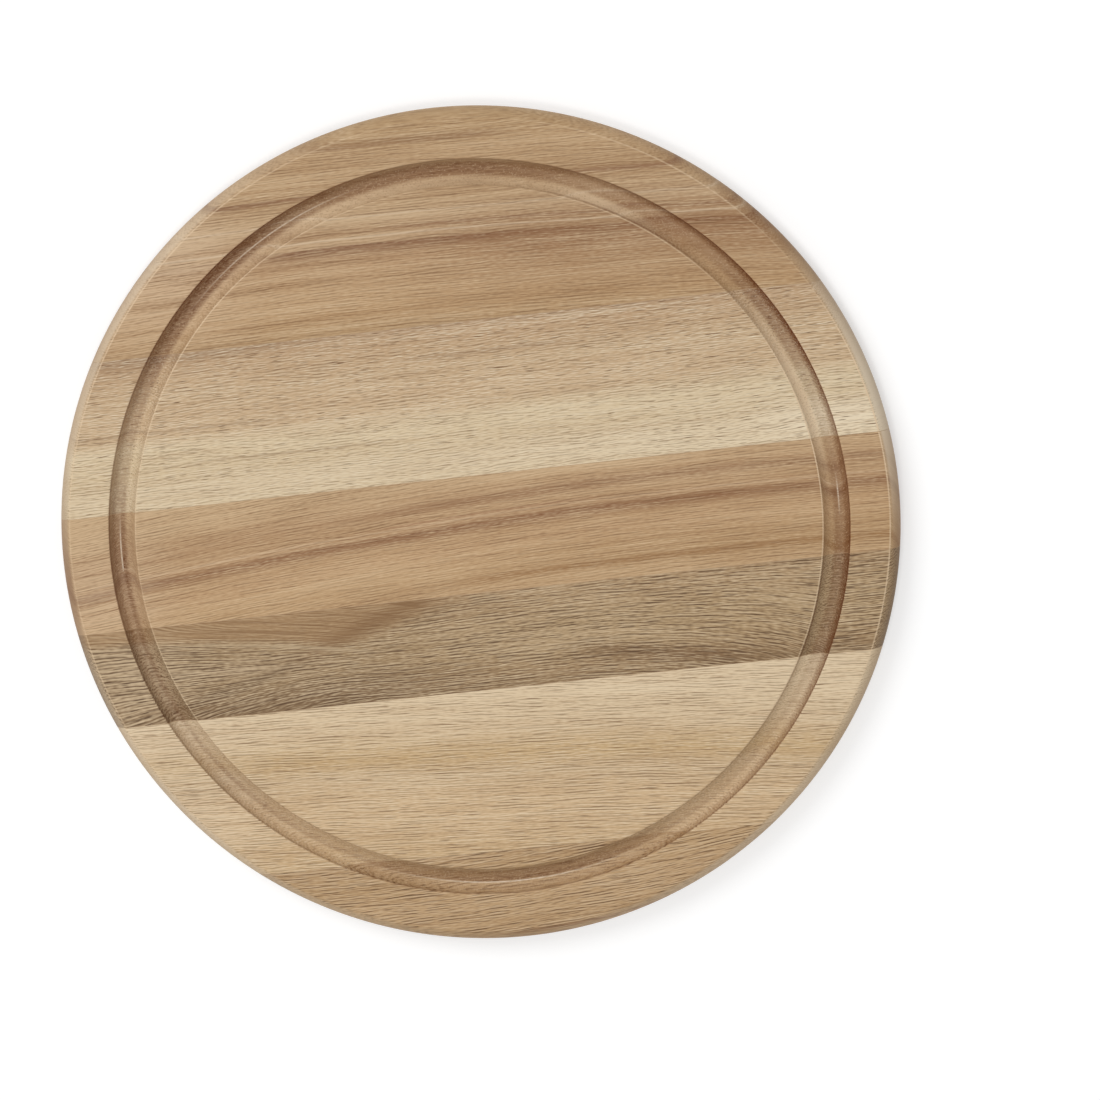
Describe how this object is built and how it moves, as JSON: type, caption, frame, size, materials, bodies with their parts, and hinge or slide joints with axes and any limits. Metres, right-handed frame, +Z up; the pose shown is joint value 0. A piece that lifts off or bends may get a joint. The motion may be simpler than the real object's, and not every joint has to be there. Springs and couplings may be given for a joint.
{
  "type": "round serving board",
  "caption": "Round wooden serving board of edge-glued staves in mixed tones, with a juice groove round the serving face and a rounded edge.",
  "frame": {"origin": "centre of the underside", "axes": "+Z up through the serving face, X along the staves, +Y towards the back edge stave"},
  "size_m": [0.33, 0.33, 0.016],
  "materials": {
    "tan_streaked_acacia": "satin",
    "pale_flecked_acacia": "satin",
    "red_tan_acacia": "satin",
    "grey_brown_acacia": "satin",
    "cream_acacia": "satin",
    "tan_plain_acacia": "satin",
    "wood_glue": "matte"
  },
  "bodies": {
    "root": {"stave_1_back_edge": "tan_streaked_acacia", "stave_2_back_wide": "pale_flecked_acacia", "stave_3_centre": "red_tan_acacia", "stave_4_narrow": "grey_brown_acacia", "stave_5_front_wide": "cream_acacia", "stave_6_front_edge": "tan_plain_acacia", "glue_line_1_2": "wood_glue", "glue_line_2_3": "wood_glue", "glue_line_3_4": "wood_glue", "glue_line_4_5": "wood_glue", "glue_line_5_6": "wood_glue"}
  },
  "joints": []
}
